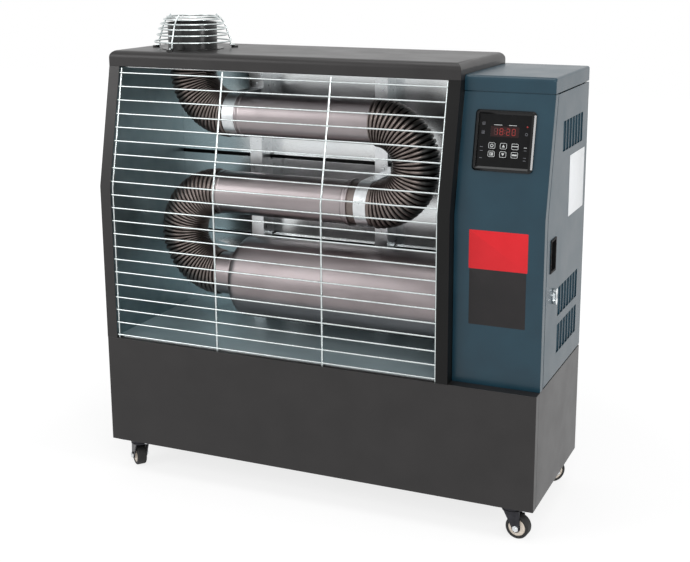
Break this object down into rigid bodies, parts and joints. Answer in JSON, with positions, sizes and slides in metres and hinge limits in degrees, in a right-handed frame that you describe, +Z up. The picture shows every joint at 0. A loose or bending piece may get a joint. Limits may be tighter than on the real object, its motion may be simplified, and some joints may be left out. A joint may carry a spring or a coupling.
{
  "type": "infrared diesel heater",
  "caption": "Wheeled indirect infrared diesel heater: radiant tube run behind a wire guard, burner cabinet with side door and keypad, fuel tank base.",
  "frame": {"origin": "on the floor under the middle of the base", "axes": "+Z up, front guard and control panel towards -Y, burner cabinet towards +X"},
  "size_m": [0.927, 0.3307, 0.953],
  "materials": {
    "charcoal_paint": "satin paint",
    "blue_paint": "satin paint",
    "reflector_steel": "bright rolled",
    "tube_steel": "heat tinted satin",
    "ribbed_steel": "heat tinted ribbed",
    "wire_chrome": "bright plated",
    "zinc_steel": "zinc plated",
    "caster_steel": "dark plated",
    "tyre_rubber": "matte",
    "key_plastic": "satin",
    "black_plastic": "satin",
    "gloss_black": "gloss",
    "display_lens": "gloss tinted",
    "board_resin": "satin",
    "cast_alloy": "as cast",
    "motor_paint": "satin",
    "pipe_brass": "drawn",
    "tank_paint": "satin"
  },
  "bodies": {
    "heater": {"base_back_panel": "charcoal_paint", "base_deck": "charcoal_paint", "base_front_panel": "charcoal_paint", "base_side_panels": "charcoal_paint", "blower_housing": "cast_alloy", "blower_motor": "motor_paint", "burner_nozzle": "tube_steel", "cabinet_back_panel": "blue_paint", "cabinet_front_panel": "blue_paint", "cabinet_top_cap": "blue_paint", "casing_screws": "zinc_steel", "caster_bolts": "zinc_steel", "caster_plates": "zinc_steel", "chassis_floor": "charcoal_paint", "combustion_chamber": "tube_steel", "control_bezel": "gloss_black", "control_board": "board_resin", "display_window": "display_lens", "divider_panel": "charcoal_paint", "door_pivot_pins": "zinc_steel", "exhaust_collar": "tube_steel", "exhaust_elbow": "ribbed_steel", "exhaust_guard": "wire_chrome", "filler_pocket": "charcoal_paint", "fuel_pipes": "pipe_brass", "fuel_pump": "cast_alloy", "fuel_tank": "tank_paint", "guard_grille": "wire_chrome", "heater_back_panel": "charcoal_paint", "ignition_transformer": "black_plastic", "left_side_panel": "charcoal_paint", "lower_bend": "ribbed_steel", "mains_inlet": "black_plastic", "radiant_tube_middle": "tube_steel", "radiant_tube_top": "tube_steel", "reflector_panels": "reflector_steel", "reflector_sides": "reflector_steel", "support_posts": "reflector_steel", "top_cap": "charcoal_paint", "tube_straps": "reflector_steel", "upper_bend": "ribbed_steel"},
    "fork_front_left": {"caster_fork_front_left": "caster_steel"},
    "wheel_front_left": {"caster_wheel_front_left": "tyre_rubber"},
    "fork_front_right": {"caster_fork_front_right": "caster_steel"},
    "wheel_front_right": {"caster_wheel_front_right": "tyre_rubber"},
    "fork_rear_left": {"caster_fork_rear_left": "caster_steel"},
    "wheel_rear_left": {"caster_wheel_rear_left": "tyre_rubber"},
    "fork_rear_right": {"caster_fork_rear_right": "caster_steel"},
    "wheel_rear_right": {"caster_wheel_rear_right": "tyre_rubber"},
    "door": {"cabinet_door": "blue_paint", "door_pull": "black_plastic"},
    "lock": {"door_lock": "zinc_steel"},
    "key_power": {"key_power": "key_plastic"},
    "key_up": {"key_up": "key_plastic"},
    "key_mode": {"key_mode": "key_plastic"},
    "key_timer": {"key_timer": "key_plastic"},
    "key_down": {"key_down": "key_plastic"},
    "key_lock": {"key_lock": "key_plastic"},
    "blower": {"blower_wheel": "zinc_steel"},
    "filler": {"filler_cap": "black_plastic"}
  },
  "joints": [
    {"name": "swivel_front_left", "type": "hinge", "parent": "heater", "child": "fork_front_left", "pos_m": [-0.412, -0.131, 0.056], "axis": [0, 0, 1], "continuous": true},
    {"name": "roll_front_left", "type": "hinge", "parent": "fork_front_left", "child": "wheel_front_left", "pos_m": [-0.42196, -0.12264, 0.023], "axis": [-0.6428, -0.766, 0], "continuous": true},
    {"name": "swivel_front_right", "type": "hinge", "parent": "heater", "child": "fork_front_right", "pos_m": [0.412, -0.131, 0.056], "axis": [0, 0, 1], "continuous": true},
    {"name": "roll_front_right", "type": "hinge", "parent": "fork_front_right", "child": "wheel_front_right", "pos_m": [0.42493, -0.13236, 0.023], "axis": [0.1045, 0.9945, 0], "continuous": true},
    {"name": "swivel_rear_left", "type": "hinge", "parent": "heater", "child": "fork_rear_left", "pos_m": [-0.412, 0.131, 0.056], "axis": [0, 0, 1], "continuous": true},
    {"name": "roll_rear_left", "type": "hinge", "parent": "fork_rear_left", "child": "wheel_rear_left", "pos_m": [-0.41426, 0.1438, 0.023], "axis": [-0.9848, -0.1736, 0], "continuous": true},
    {"name": "swivel_rear_right", "type": "hinge", "parent": "heater", "child": "fork_rear_right", "pos_m": [0.412, 0.131, 0.056], "axis": [0, 0, 1], "continuous": true},
    {"name": "roll_rear_right", "type": "hinge", "parent": "fork_rear_right", "child": "wheel_rear_right", "pos_m": [0.42119, 0.14019, 0.023], "axis": [-0.7071, 0.7071, 0], "continuous": true},
    {"name": "door_hinge", "type": "hinge", "parent": "heater", "child": "door", "pos_m": [0.452, 0.155, 0.5], "axis": [0, 0, 1], "range_deg": [0, 105]},
    {"name": "lock_turn", "type": "hinge", "parent": "door", "child": "lock", "pos_m": [0.46, -0.066, 0.458], "axis": [1, 0, 0], "range_deg": [0, 90]},
    {"name": "key_power_press", "type": "slide", "parent": "heater", "child": "key_power", "axis": [0, 0.9771, -0.2126], "range_m": [0, 0.0008], "stiffness_N_per_m": 600},
    {"name": "key_up_press", "type": "slide", "parent": "heater", "child": "key_up", "axis": [0, 0.9771, -0.2126], "range_m": [0, 0.0008], "stiffness_N_per_m": 600},
    {"name": "key_mode_press", "type": "slide", "parent": "heater", "child": "key_mode", "axis": [0, 0.9771, -0.2126], "range_m": [0, 0.0008], "stiffness_N_per_m": 600},
    {"name": "key_timer_press", "type": "slide", "parent": "heater", "child": "key_timer", "axis": [0, 0.9771, -0.2126], "range_m": [0, 0.0008], "stiffness_N_per_m": 600},
    {"name": "key_down_press", "type": "slide", "parent": "heater", "child": "key_down", "axis": [0, 0.9771, -0.2126], "range_m": [0, 0.0008], "stiffness_N_per_m": 600},
    {"name": "key_lock_press", "type": "slide", "parent": "heater", "child": "key_lock", "axis": [0, 0.9771, -0.2126], "range_m": [0, 0.0008], "stiffness_N_per_m": 600},
    {"name": "blower_spin", "type": "hinge", "parent": "heater", "child": "blower", "pos_m": [0.33, -0.003, 0.413], "axis": [1, 0, 0], "continuous": true},
    {"name": "filler_cap_turn", "type": "hinge", "parent": "heater", "child": "filler", "pos_m": [0.278, 0.121, 0.23], "axis": [0, 0, 1], "range_deg": [0, 120]}
  ]
}
